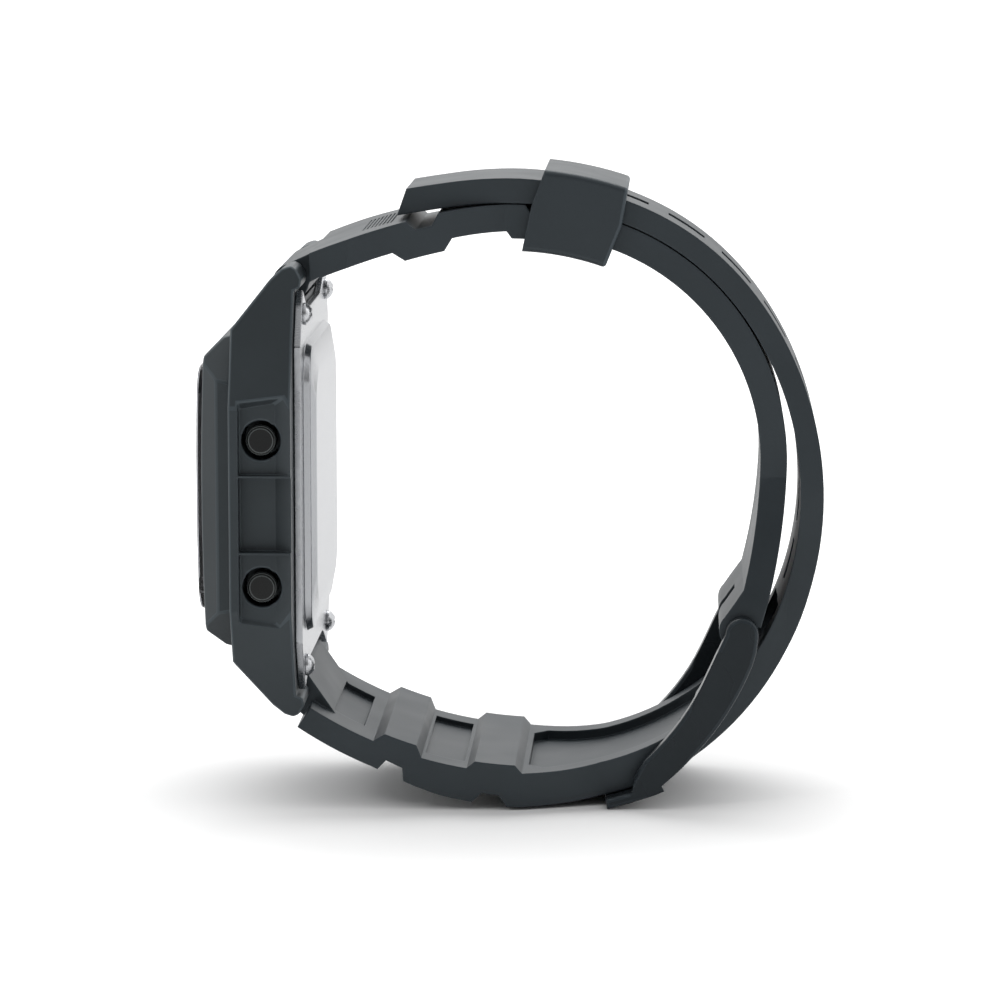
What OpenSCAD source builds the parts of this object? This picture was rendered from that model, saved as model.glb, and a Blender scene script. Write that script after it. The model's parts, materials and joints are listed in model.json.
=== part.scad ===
// Digital wristwatch with a resin strap, buckled into its loop.
// X points from the dial towards the wrist, Z from 6 to 12 o'clock, and the
// 3 o'clock flank with two of the four buttons faces -Y.
// The case pieces are drawn in a case frame: x to 3 o'clock, y to 12 o'clock
// and z from the back cover to the crystal. The strap pieces are side
// outlines in the X-Z plane, drawn along a chain of arcs and given a width.

/* [Case] */
// Width of the case over its flanks
case_w = 42; // [40:0.5:44]
// Length of the case from lug tip to lug tip
case_len = 47.4; // [46:0.2:49]
// Width of the case over the outer faces of a pair of lugs
lug_span = 28.4; // [27:0.2:30]
// Free width between the two lugs of a pair
lug_gap = 18.8; // [18:0.2:20]
// Height of the case shell over the back cover's face
shell_h = 7.2; // [6.8:0.1:7.6]
// Depth of the button bays in the flanks
bay_depth = 1.1; // [0.8:0.1:1.4]
// Height of one button bay along the flank
bay_len = 6.8; // [6:0.2:7.4]
// Depth of the recess between the two bays of a flank
waist_depth = 1.7; // [1.4:0.1:2]
// Half the height of the recess between the bays
waist_half = 3.9; // [3.4:0.1:4.2]
// Middle of the button pattern, below the middle of the case
flank_drop = 1.5; // [0:0.1:1.8]
// Width of the cavity for the movement
cavity_w = 30.4; // [29.6:0.2:31]
// Length of the cavity for the movement
cavity_len = 30; // [29:0.2:31]

/* [Bezel and crystal] */
// Width of the bezel ring
bezel_w = 37.2; // [36:0.2:38]
// Length of the bezel ring
bezel_len = 33; // [32:0.2:34]
// Height of the bezel ring over the case shell, at the middle of its bow
bezel_h = 3.3; // [3:0.1:3.4]
// Height of the seat under the crystal
seat_h = 1.5; // [1.3:0.1:1.7]
// Width of the crystal
crystal_w = 27; // [26:0.2:28]
// Length of the crystal
crystal_len = 25.8; // [25:0.2:26.4]
// Thickness of the crystal at its middle
crystal_t = 2.65; // [2.4:0.05:2.8]

/* [Back cover] */
// Thickness of the steel back cover
back_t = 0.8; // [0.7:0.05:1]
// How far the dished middle stands towards the wrist
dish_h = 1.25; // [0.9:0.05:1.5]
// Distance between the back screws across the case
screw_pitch_x = 26; // [25.4:0.2:26.6]
// Distance between the back screws along the case
screw_pitch_y = 37; // [36.4:0.2:37.4]
// Diameter of a back screw's head
screw_head_d = 2.3; // [2:0.1:2.6]
// Diameter of a back screw's shank
screw_d = 1.4; // [1.2:0.1:1.6]

/* [Buttons] */
// Diameter of a button's cap
cap_d = 3.2; // [2.8:0.1:3.6]
// Clearance all round a cap in its counterbore
cap_gap = 0.45; // [0.35:0.05:0.5]
// Diameter of a button's stem
stem_d = 2; // [1.8:0.1:2.2]
// Travel of a button
travel = 0.7; // [0.5:0.05:0.8]
// Distance from the middle of the pattern to a button
button_offset = 7.65; // [7.3:0.05:7.9]
// Height of the buttons over the back cover's face
button_h = 3.9; // [3.6:0.1:4]

/* [Spring bars] */
// Outer diameter of a spring bar's tube
bar_d = 1.8; // [1.7:0.05:1.9]
// Diameter of a spring bar's pin
pin_d = 0.9; // [0.8:0.05:1]
// Depth of the blind holes that take the pins
pin_hole = 1.2; // [1.1:0.05:1.4]
// Distance of a lug bar from the lug tip
bar_inset = 2.3; // [2.2:0.05:2.5]
// Height of a lug bar over the back cover's face
bar_h = 1.7; // [1.6:0.05:1.9]

/* [Strap] */
// Width of the strap at the case
strap_w = 26; // [25:0.2:27]
// Width of the strap under the keeper
strap_neck = 14.6; // [14:0.2:15.2]
// Width of the long half's free end
tail_w = 14.4; // [13.6:0.2:14.6]
// Width of both halves at the buckle
strap_buckle_w = 20.8; // [20:0.2:21]
// Thickness of the short half
short_t = 2.8; // [2.6:0.1:3]
// Thickness of the long half behind its shoulder
long_t = 3.5; // [3:0.1:3.6]
// Thickness of the long half along its free end
tail_t = 2.5; // [2.3:0.1:2.6]
// Length of the short half, lug to buckle bar
short_len = 84; // [82:0.5:85]
// Length of the free end past the place where both halves meet
tail_len = 38.6; // [36:0.2:39]
// How far the tip of the free end lifts off the short half
tail_lift = 0.4; // [0:0.1:0.6]
// Depth of the flex notches in the outer face
notch_depth = 1.1; // [0.8:0.1:1.3]
// Height of the ribs that back the notches
rib_depth = 1.15; // [0.9:0.05:1.2]
// Depth of the two short pockets in the inner face
pocket_depth = 0.6; // [0.4:0.1:0.8]
// Depth of the long groove that holds the adjustment holes
groove_depth = 1; // [0.7:0.1:1.2]
// Distance between adjustment holes
hole_pitch = 6.4; // [6:0.1:7]

/* [Buckle and keeper] */
// Thickness of a buckle arm
arm_t = 1.9; // [1.6:0.1:2]
// Height of the rounded head of a buckle arm
arm_h = 3.45; // [3.3:0.05:3.6]
// Thickness of the buckle's cross bar
cross_t = 1.1; // [1:0.05:1.2]
// Width of the buckle's tongue
tongue_w = 2; // [1.8:0.1:2.2]
// Length of the keeper along the strap
keeper_len = 9.2; // [8.6:0.1:9.4]
// Wall of the keeper
keeper_wall = 1.05; // [1:0.05:1.2]

/* [Hidden] */
$fn = 48;

// Colours
resin = [0.21, 0.23, 0.25];
gloss_black = [0.05, 0.05, 0.06];
steel = [0.78, 0.79, 0.8];
rubber = [0.1, 0.1, 0.1];

// Place of the case in the standing watch
back_x = -21.44;
case_z = 33.96;

// Clearances
part_gap = 0.15;
fit_gap = 0.05;
lap = 0.05;
cut = 2;

// Heights in the case frame
bezel_top = shell_h + bezel_h;
seat_z = shell_h + seat_h;
gasket_t = 0.6;
gasket_w = 1;

// Half measures of the case
half_w = case_w / 2;
half_len = case_len / 2;
lug_half = lug_span / 2;
gap_half = lug_gap / 2;
bar_y = half_len - bar_inset;
shell_top = half_len - 6.1;
button_z = button_h;
hole_r = cap_d / 2 + cap_gap;

// Stations of a button, measured from the middle of the case
cap_face = half_w - 0.9;
wall_x = cavity_w / 2;
flank_t = half_w - wall_x;
cap_base = cap_face - 0.36 * flank_t;
bore_mouth = cap_base - 0.28 * flank_t;
stem_end = wall_x - 0.9;
clip_t = 0.24;
clip_x = wall_x - fit_gap - clip_t;

// The two lug bars in the side view
bar_x = back_x - bar_h;
top_bar = [bar_x, case_z + bar_y];
bottom_bar = [bar_x, case_z - bar_y];
tongue_r = 1.9;
slot_y = bar_y - tongue_r - 0.35;

// A pose is [x, z, heading]; a run is [length, radius], and a positive radius turns left.
function turn(run) = 180 / PI / run[1];
function ahead(p, run, t) = let (k = turn(run), h = p[2] + t * k, r = run[1])
    [p[0] + r * (sin(h) - sin(p[2])), p[1] - r * (cos(h) - cos(p[2])), h];
function along(p, runs, s, i = 0) =
    i == len(runs) - 1 || s <= runs[i][0] ? ahead(p, runs[i], s)
    : along(ahead(p, runs[i], runs[i][0]), runs, s - runs[i][0], i + 1);
function beside(p, d) = [p[0] - d * sin(p[2]), p[1] + d * cos(p[2])];
function total(runs, i = 0) = i == len(runs) ? 0 : runs[i][0] + total(runs, i + 1);

// Two arcs that join pose p to pose q without a kink
function dir(h) = [cos(h), sin(h)];
function normal(h) = [-sin(h), cos(h)];
function arc_run(p, h, q) = let (w = q - p, side = w * normal(h), r = w * w / (2 * side))
    [r * atan2(side, w * dir(h)) * 2 * PI / 180, r];
function join_arcs(p, q) =
    let (a = [p[0], p[1]], b = [q[0], q[1]], ta = dir(p[2]), tb = dir(q[2]), v = b - a,
        c = 1 - ta * tb, vt = v * (ta + tb), d = (sqrt(vt * vt + 2 * c * (v * v)) - vt) / (2 * c),
        m = (a + b + d * (ta - tb)) / 2, last = arc_run(b, q[2] + 180, m))
    [arc_run(a, p[2], m), [last[0], -last[1]]];

// Outer face of the short half: four arcs round the wrist, from lug to buckle
short_start = [top_bar[0] + 2.3, top_bar[1] + 3.4, 21.7];
short_runs = [[15.5, -73], [17, -34.5], [34, -26.6], [40, -65]];

// Inner face of the long half: shoulder, two joining arcs, then along the short half
meet_s = 47.5;
meet_pose = along(short_start, short_runs, meet_s);
meet_point = beside(meet_pose, part_gap);
long_start = [bottom_bar[0] + 1.75, bottom_bar[1] - 1.5, -33.5];
shoulder_run = [27.3, 43];
shoulder_end = ahead(long_start, shoulder_run, shoulder_run[0]);
joining = join_arcs(shoulder_end, [meet_point[0], meet_point[1], meet_pose[2] + 180]);
long_runs = concat([shoulder_run], joining,
    [[(meet_s - 32.5) * (26.6 + part_gap) / 26.6, 26.6 + part_gap],
     [17, 34.5 + part_gap], [40, 90]]);
meet_len = shoulder_run[0] + joining[0][0] + joining[1][0];
long_len = meet_len + tail_len;

// Buckle bar at the end of the short half
barrel_r = 2.05;
hinge_pose = along(short_start, short_runs, short_len);
hinge = beside(hinge_pose, -1.78);
barrel = beside(hinge_pose, -0.1 - barrel_r);

// Relief of the strap: [distance along it, width at the base, width at the top, height]
short_notches = [[12, 3.4, 1.7, notch_depth], [24.5, 3.4, 1.7, notch_depth]];
short_ribs = [[11.45, 6.5, 4.35, rib_depth], [24.2, 6.8, 5.6, 0.65 * rib_depth]];
long_notches = [[10.8, 2.8, 1.8, 1.15 * notch_depth], [20.9, 3.4, 1.7, notch_depth]];
long_ribs = [[10.6, 5.4, 3.6, rib_depth], [21.1, 5.9, 4.3, 0.75 * rib_depth]];
function ramp(x) = min(1, max(0, x));
function bump(s, v) = v[3] * ramp((v[1] / 2 - abs(s - v[0])) / ((v[1] - v[2]) / 2));
function relief(s, places) = max([for (v = places) bump(s, v)]);
function corners(places) = [for (v = places, w = [-v[1], -v[2], v[2], v[1]]) v[0] + w / 2];
function sorted(v) = len(v) < 2 ? v :
    let (m = v[floor(len(v) / 2)])
    concat(sorted([for (x = v) if (x < m) x]), [m], sorted([for (x = v) if (x > m) x]));
function stations(from, to, step, extra) =
    sorted(concat([for (s = [from : step : to - step / 3]) s],
        [for (s = extra) if (s > from && s < to) s], [to]));
facet = 1.2;
function short_stations(from, to) =
    stations(from, to, facet, concat(corners(short_notches), corners(short_ribs)));
function long_stations(from, to) =
    stations(from, to, facet, concat(corners(long_notches), corners(long_ribs)));

// Thickness of the long half: thin shoulder, thick waist, thin free end
function long_thick(s) = lookup(s, [[0, 2.5], [9, 2.6], [16, long_t - 0.1], [23, long_t + 0.1],
    [30, long_t], [38, long_t - 0.05], [46, (long_t + tail_t) / 2 + 0.1], [54, tail_t + 0.2],
    [61, tail_t], [80, tail_t - 0.15], [106, tail_t - 0.15], [118, tail_t + 0.1]]);
function lift(s) = tail_lift * pow(ramp((s - long_len + 14) / 14), 2);

// Adjustment holes, counted from the one the tongue is in
tongue_hole = 43;
hole_len = 4.6;
hole_w = tongue_w + 0.6;
hole_count = 11;

// Cross bar of the buckle, by distance along the long half
cross_from = 32;
cross_to = 37.4;
frame_half = strap_buckle_w / 2 + part_gap;

// Keeper, by distance along the short half's outer face
keeper_mid = 28.2;
keeper_gap = 0.2;
keeper_half = strap_neck / 2 + 0.2;

// Draws a case piece in its place
module in_case() {
    translate([back_x, 0, case_z]) rotate([90, 0, -90]) children();
}

// Gives a side outline a width, centred on the strap
module wide(w) {
    rotate([90, 0, 0]) linear_extrude(w, center = true) children();
}

module rounded(w, l, r) {
    for (sx = [-1, 1], sy = [-1, 1])
        translate([sx * (w / 2 - r), sy * (l / 2 - r)]) circle(r);
    square([w - 2 * r, l], center = true);
    square([w, l - 2 * r], center = true);
}

// A coil spring along z, as one tube
module coil(r, wire, length, turns, sides = 6, rings = 8) {
    count = round(turns * rings);
    function ring_at(i) = let (a = 360 * i / rings, z = wire + (length - 2 * wire) * i / count)
        [for (j = [0 : sides - 1]) let (b = 360 * j / sides)
            [(r + wire * cos(b)) * cos(a), (r + wire * cos(b)) * sin(a), z + wire * sin(b)]];
    points = [for (i = [0 : count]) each ring_at(i)];
    walls = [for (i = [0 : count - 1], j = [0 : sides - 1])
        let (k = (j + 1) % sides, a = i * sides, b = a + sides)
        each [[a + j, b + j, b + k], [a + j, b + k, a + k]]];
    first = [for (j = [1 : sides - 2]) [0, j, j + 1]];
    last = [for (j = [1 : sides - 2]) let (a = count * sides) [a, a + j + 1, a + j]];
    // Least distance between neighbouring turns, skin to skin
    echo(coil_gap = min([for (i = [0 : count - rings], j = [0 : sides - 1], k = [0 : sides - 1])
        norm(points[i * sides + j] - points[(i + rings) * sides + k])]));
    polyhedron(points, concat(walls, first, last));
}

// Plan of the case: straight flanks, tapering to the lugs
flank_top = 9.6;
flank_bottom = 11.6;
bay_front = 6.1;
bay_tilt = 9.5;
recess_slope = 33;
ridge_t = 0.2;
module case_plan() {
    polygon([
        [half_w, flank_top], [lug_half, half_len + cut], [-lug_half, half_len + cut],
        [-half_w, flank_top], [-half_w, -flank_bottom], [-lug_half, -half_len - cut],
        [lug_half, -half_len - cut], [half_w, -flank_bottom]]);
}

// Side view of the case over its length: front slopes and drooping lug tips
function lug_side(s) = [
    [s * (bar_y - 0.2), back_t], [s * (bar_y + 0.1), 0.1], [s * (half_len - 1.3), 0],
    [s * (half_len - 0.3), 0.6], [s * half_len, 1.2], [s * (half_len - 0.3), 2.1],
    [s * (half_len - 1.4), 3.3], [s * shell_top, shell_h - 0.2], [s * (shell_top - 0.3), shell_h]];
function backwards(v) = [for (i = [len(v) - 1 : -1 : 0]) v[i]];
module case_side() {
    polygon(concat(lug_side(1), backwards(lug_side(-1))));
}

// Everything on the lower side of a plane through a point, tilted about x and then leaned about z
module below(point, tilt, lean) {
    translate(point) rotate([tilt, 0, 0]) rotate([0, 0, lean])
        translate([-case_w, -2 * case_w, -case_w]) cube(2 * case_w);
}
// A flank recess with a sloping front wall; its end away from the middle leans and tilts too
module flank_recess(from, to, depth, front, tilt, lean) {
    floor_x = half_w - depth;
    intersection() {
        translate([floor_x, from, -1]) cube([depth + cut, to - from + depth + cut, shell_h]);
        below([floor_x, to, front], tilt, lean);
        translate([floor_x, from - cut, front]) rotate([0, -recess_slope, 0])
            translate([-cut, 0, -2 * shell_h]) cube([case_w, case_w, 2 * shell_h]);
    }
}

module case_shell() {
    color(resin) in_case() difference() {
        intersection() {
            translate([0, 0, -1]) linear_extrude(shell_h + 2) case_plan();
            rotate([90, 0, 90]) linear_extrude(case_w, center = true) case_side();
        }
        // Cavity for the movement, open to the back and to the dial
        translate([0, 0, -1]) linear_extrude(shell_h + cut) rounded(cavity_w, cavity_len, 3);
        // Groove of the back gasket
        translate([0, 0, back_t - lap]) linear_extrude(gasket_t + lap) difference() {
            rounded(cavity_w + 2 * gasket_w + 1, cavity_len + 2 * gasket_w + 1, 3);
            rounded(cavity_w - 1, cavity_len - 1, 3);
        }
        // Room for the strap's tongues between the lugs
        for (s = [-1, 1])
            translate([0, s * (slot_y + 10), shell_h / 2]) cube([lug_gap, 20, shell_h + 4], center = true);
        // Bays of the buttons, and the recess between them
        for (m = [0, 1]) mirror([m, 0, 0]) translate([0, -flank_drop, 0]) {
            for (e = [0, 1]) mirror([0, e, 0])
                flank_recess(waist_half + ridge_t, waist_half + ridge_t + bay_len, bay_depth, bay_front,
                    bay_tilt, 42);
            flank_recess(-waist_half, waist_half, waist_depth, bay_front + 0.1, 0, 0);
            for (s = [-1, 1]) translate([0, s * button_offset, button_z]) rotate([0, 90, 0]) {
                translate([0, 0, bore_mouth]) cylinder(r = hole_r, h = half_w);
                cylinder(r = stem_d / 2 + fit_gap, h = half_w);
            }
        }
        // Blind holes of the spring bars
        for (s = [-1, 1]) translate([0, s * bar_y, bar_h]) rotate([0, 90, 0])
            cylinder(r = pin_d / 2 + fit_gap, h = lug_gap + 2 * pin_hole, center = true);
        // Threaded holes of the back screws
        for (sx = [-1, 1], sy = [-1, 1])
            translate([sx * screw_pitch_x / 2, sy * screw_pitch_y / 2, 0])
                cylinder(r = screw_d / 2, h = 4.2);
    }
}

// Bezel: a ring with sloping outer faces and a seat for the crystal
bezel_plan_cut = 4.6;
front_bow = 0.35;
module octagon(w, l, c) {
    polygon([for (s = [[1, 1], [-1, 1], [-1, -1], [1, -1]])
        each (s[0] * s[1] > 0
            ? [[s[0] * w / 2, s[1] * (l / 2 - c)], [s[0] * (w / 2 - c), s[1] * l / 2]]
            : [[s[0] * (w / 2 - c), s[1] * l / 2], [s[0] * w / 2, s[1] * (l / 2 - c)]])]);
}
module bezel_side(w, slope, bow, bezel_wall) {
    front = w / 2 - slope;
    polygon(concat([[-w / 2, 0], [w / 2, 0], [w / 2 - 0.3, bezel_wall]],
        [for (i = [8 : -1 : -8]) let (x = front * i / 8) [x, bezel_h - bow * pow(i / 8, 2)]],
        [[-w / 2 + 0.3, bezel_wall]]));
}
module bezel() {
    color(resin) in_case() translate([0, 0, shell_h]) difference() {
        intersection() {
            linear_extrude(bezel_h) octagon(bezel_w, bezel_len, bezel_plan_cut);
            rotate([90, 0, 0]) linear_extrude(bezel_len + cut, center = true)
                bezel_side(bezel_w, 2.2, 0, 1.5);
            rotate([90, 0, 90]) linear_extrude(bezel_w + cut, center = true)
                bezel_side(bezel_len, 2.1, front_bow, 1.1);
        }
        translate([0, 0, -1]) linear_extrude(bezel_h + cut) rounded(crystal_w - 2, crystal_len - 2, 2.4);
        translate([0, 0, seat_h]) linear_extrude(bezel_h)
            rounded(crystal_w + 0.8, crystal_len + 0.8, 3);
    }
}

crystal_bow = 0.2;
module crystal() {
    edge = crystal_len / 2;
    color([0.75, 0.78, 0.85]) in_case() translate([0, 0, seat_z]) intersection() {
        linear_extrude(crystal_t) rounded(crystal_w, crystal_len, 2.8);
        rotate([90, 0, 90]) linear_extrude(case_w, center = true) polygon(concat(
            [[-edge - cut, -cut], [edge + cut, -cut]],
            [for (i = [4 : -1 : -4]) let (x = (edge + cut) * i / 4)
                [x, crystal_t - crystal_bow * pow(x / edge, 2)]]));
    }
}

module crystal_gasket() {
    color(rubber) in_case() translate([0, 0, seat_z]) linear_extrude(bezel_h - seat_h - 0.4) difference() {
        rounded(crystal_w + 0.8, crystal_len + 0.8, 3);
        rounded(crystal_w, crystal_len, 2.8);
    }
}

// Stack behind the crystal
mask_z = shell_h - 0.5;
lcd_z = mask_z - 1.2;
light_z = lcd_z - 0.3;
view_w = 21;
view_len = 13;
lcd_w = cavity_w - 6.4;
lcd_len = cavity_len - 8;
light_w = lcd_w - 0.4;
light_len = lcd_len - 5;
strip_len = lcd_w - 3;
strip_w = 1.2;
strip_y = lcd_len / 2 - strip_w;
slot_gap = 0.1;
module dial_mask() {
    color([0.12, 0.12, 0.13]) in_case() translate([0, 0, mask_z]) linear_extrude(0.45) difference() {
        rounded(cavity_w - 0.8, cavity_len - 0.8, 2.8);
        translate([0, -2.4]) rounded(view_w, view_len, 1);
        translate([-5.6, 8.2]) circle(2.9);
        translate([5, 8.2]) rounded(9.6, 4.4, 0.8);
    }
}
module lcd_panel() {
    color([0.62, 0.66, 0.6]) in_case() translate([0, 0, lcd_z]) {
        linear_extrude(0.6) square([lcd_w, lcd_len], center = true);
        translate([0, 0, 0.6]) linear_extrude(0.55) square([lcd_w, lcd_len - 2.4], center = true);
    }
}
module backlight_panel() {
    color([0.85, 0.88, 0.82]) in_case() translate([0, 0, light_z]) linear_extrude(0.3)
        square([light_w, light_len], center = true);
}
board_z = 3.1;
board_t = 0.6;
module connector_strips() {
    color([0.35, 0.35, 0.38]) in_case() for (s = [-1, 1])
        translate([0, s * strip_y, board_z + board_t]) linear_extrude(lcd_z - board_z - board_t)
            square([strip_len, strip_w], center = true);
}
frame_w = cavity_w - 4;
frame_len = cavity_len - 1.2;
module module_frame() {
    color([0.86, 0.86, 0.84]) in_case() difference() {
        translate([0, 0, 1.7]) linear_extrude(mask_z - 1.7) rounded(frame_w, frame_len, 2.4);
        translate([0, 0, lcd_z]) linear_extrude(2)
            square([lcd_w + 2 * slot_gap, lcd_len + 2 * slot_gap], center = true);
        translate([0, 0, light_z]) linear_extrude(2)
            square([light_w + 2 * slot_gap, light_len + 4 * slot_gap], center = true);
        translate([0, 0, board_z + board_t]) linear_extrude(2) for (s = [-1, 1])
            translate([0, s * strip_y]) square([strip_len + 4 * slot_gap, strip_w + 4 * slot_gap], center = true);
        translate([0, 0, 1]) linear_extrude(board_z + board_t - 1 + lap)
            rounded(frame_w - 1.6, frame_len - 1.6, 1.8);
    }
}
cell_r = 10;
cell_y = -2;
module circuit_board() {
    color([0.1, 0.35, 0.2]) in_case() translate([0, 0, board_z]) linear_extrude(board_t) difference() {
        rounded(cavity_w - 6, cavity_len - 3.4, 1.6);
        for (s = [-1, 1]) translate([s * 11, 12]) circle(0.6);
    }
}
module driver_chip() {
    color([0.08, 0.08, 0.08]) in_case() translate([-7, 10.4, board_z - 0.8]) linear_extrude(0.8)
        rounded(5, 4, 1);
}
module quartz_can() {
    color(steel) in_case() translate([4, 10.4, board_z - 0.75]) rotate([0, 90, 0]) {
        cylinder(r = 0.75, h = 5.2);
        translate([0, 0, -0.4]) cylinder(r = 0.6, h = 0.4);
    }
}
module coin_cell() {
    color(steel) in_case() translate([0, cell_y, board_z - 1.6]) {
        cylinder(r = cell_r, h = 1.3);
        translate([0, 0, 1.3]) cylinder(r = cell_r - 1.1, h = 0.3);
    }
}
module battery_clip() {
    clip_z = board_z - 1.6 - 0.25;
    color(steel) in_case() {
        translate([0, cell_y, clip_z]) linear_extrude(0.25) difference() {
            square([2 * cell_r + 2.8, 5], center = true);
            circle(1.2);
        }
        for (s = [-1, 1]) translate([s * (cell_r + 0.85), cell_y, clip_z]) linear_extrude(1.85)
            square([0.5, 3], center = true);
    }
}
module buzzer_disc() {
    color([0.8, 0.7, 0.4]) in_case() translate([0, 0, 0.2 - dish_h + 0.45]) {
        cylinder(r = 8.6, h = 0.15);
        translate([0, 0, 0.15]) cylinder(r = 6.4, h = 0.12);
    }
}
buzzer_turns = 3.5;
module buzzer_spring() {
    color(steel) in_case() translate([0, 12.2, 0.25]) coil(0.7, 0.14, board_z - 0.25, buzzer_turns);
}
contact_t = 0.2;
module button_contacts() {
    color(steel) in_case() for (sx = [-1, 1], sy = [-1, 1])
        translate([sx * (frame_w + contact_t) / 2, -flank_drop + sy * button_offset, board_z + 0.1])
            cube([contact_t, 2.4, 1.6], center = true);
}

// Back cover with its dished middle, four screw ears and a hollow inside
module back_plan() {
    ear_y = bar_y - 0.35;
    ear_x = screw_pitch_x / 2;
    mid_x = half_w - 3.9;
    polygon([for (q = [[1, 1], [-1, 1], [-1, -1], [1, -1]]) each let (
        side = [[mid_x, screw_pitch_y / 2 - 3], [ear_x + 2, screw_pitch_y / 2 + 0.8],
            [ear_x + 0.6, ear_y], [ear_x - 1.4, screw_pitch_y / 2 + 1.5],
            [gap_half, slot_y - 0.1], [gap_half - 2, slot_y - 0.6]],
        run = q[0] * q[1] > 0 ? side : backwards(side))
        [for (p = run) [q[0] * p[0], q[1] * p[1]]]]);
}
dish_w = 29;
dish_len = 30.6;
module case_back() {
    color(steel) in_case() difference() {
        union() {
            linear_extrude(back_t - lap) back_plan();
            hull() for (sx = [-1, 1], sy = [-1, 1], v = [[0, 0, 0.7], [1.3, 2.6, dish_h]])
                translate([sx * (dish_w / 2 - 4 - v[0]), sy * (dish_len / 2 - 4 - v[1]), -v[2]])
                    cylinder(r1 = 3.6, r2 = 4, h = v[2] + 0.1, $fn = 32);
        }
        translate([0, 0, 0.65 - dish_h]) linear_extrude(dish_h + cut)
            rounded(dish_w - 3, dish_len - 3, 3);
        for (sx = [-1, 1], sy = [-1, 1])
            translate([sx * screw_pitch_x / 2, sy * screw_pitch_y / 2, -1])
                cylinder(r = screw_d / 2 + 0.1, h = 4);
    }
}
module back_gasket() {
    color(rubber) in_case() translate([0, 0, back_t]) linear_extrude(gasket_t - lap) difference() {
        rounded(cavity_w + 2 * gasket_w + 0.8, cavity_len + 2 * gasket_w + 0.8, 3);
        rounded(cavity_w + 0.6, cavity_len + 0.6, 3);
    }
}
module back_screws() {
    head_h = 0.9;
    color(steel) in_case() for (sx = [-1, 1], sy = [-1, 1])
        translate([sx * screw_pitch_x / 2, sy * screw_pitch_y / 2, 0]) {
            difference() {
                translate([0, 0, -head_h]) rotate_extrude() polygon([
                    [0, 0], [0.55, 0.04], [screw_head_d / 2 - 0.25, 0.3],
                    [screw_head_d / 2, 0.62], [screw_head_d / 2, head_h], [0, head_h]]);
                for (a = [0, 90]) rotate([0, 0, a]) translate([0, 0, -head_h])
                    cube([1.2, 0.28, 0.8], center = true);
            }
            cylinder(r = screw_d / 2 - fit_gap, h = 4);
        }
}

// Buttons: side is 1 at 3 o'clock, end is 1 towards 12 o'clock
module at_button(side, end) {
    in_case() translate([0, -flank_drop + end * button_offset, button_z])
        rotate([0, side * 90, 0]) children();
}
groove_w = 0.45;
groove_x = (bore_mouth + clip_x + clip_t - groove_w) / 2;
module button(side, end) {
    color(gloss_black) at_button(side, end) rotate_extrude() polygon([
        [0, stem_end], [stem_d / 2 - 0.1, stem_end], [stem_d / 2, stem_end + 0.1],
        [stem_d / 2, clip_x], [stem_d / 2 - 0.35, clip_x], [stem_d / 2 - 0.35, clip_x + clip_t],
        [stem_d / 2, clip_x + clip_t], [stem_d / 2, groove_x], [stem_d / 2 - 0.4, groove_x],
        [stem_d / 2 - 0.4, groove_x + groove_w], [stem_d / 2, groove_x + groove_w], [stem_d / 2, cap_base],
        [cap_d / 2, cap_base], [cap_d / 2, cap_face - 0.35], [cap_d / 2 - 0.1, cap_face - 0.1],
        [cap_d / 2 - 0.35, cap_face], [0, cap_face]]);
}
module seal(side, end) {
    color(rubber) at_button(side, end) translate([0, 0, groove_x + groove_w / 2])
        rotate_extrude() translate([stem_d / 2 - 0.18, 0]) circle(0.2, $fn = 24);
}
module clip(side, end) {
    color(steel) at_button(side, end) translate([0, 0, clip_x]) linear_extrude(clip_t) difference() {
        circle(stem_d / 2 + 0.45);
        circle(stem_d / 2 - 0.33);
        translate([0, -2]) square([1.1, 4], center = true);
    }
}
button_turns = 2;
module button_spring(side, end) {
    color(steel) at_button(side, end) translate([0, 0, bore_mouth])
        coil(stem_d / 2 + 0.3, 0.12, cap_base - bore_mouth, button_turns);
}

// Spring bars: reach is half the clear width that a bar bridges
bar_wall = 0.35;
pin_length = 4;
module bar_tube(place, reach) {
    inner = bar_d / 2 - bar_wall;
    color(steel) translate([place[0], 0, place[1]]) rotate([90, 0, 0]) rotate_extrude() polygon([
        [inner, -reach + part_gap + 0.5], [pin_d / 2 + fit_gap, -reach + part_gap + 0.4],
        [pin_d / 2 + fit_gap, -reach + part_gap], [bar_d / 2 - 0.15, -reach + part_gap],
        [bar_d / 2, -reach + part_gap + 0.15], [bar_d / 2, reach - part_gap - 0.15],
        [bar_d / 2 - 0.15, reach - part_gap], [pin_d / 2 + fit_gap, reach - part_gap],
        [pin_d / 2 + fit_gap, reach - part_gap - 0.4], [inner, reach - part_gap - 0.5]]);
}
module bar_pin(place, reach, side) {
    tip = reach + pin_hole - 0.1;
    color(steel) translate([place[0], 0, place[1]]) rotate([side * 90, 0, 0]) rotate_extrude() polygon([
        [0, tip - pin_length], [pin_d / 2, tip - pin_length], [pin_d / 2, tip - 0.15],
        [pin_d / 2 - 0.15, tip], [0, tip]]);
}
bar_turns = 8;
module bar_spring(place, reach) {
    span = 2 * (reach + pin_hole - 0.1 - pin_length);
    color(steel) translate([place[0], span / 2, place[1]]) rotate([90, 0, 0])
        coil(0.36, 0.1, span, bar_turns);
}

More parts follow.
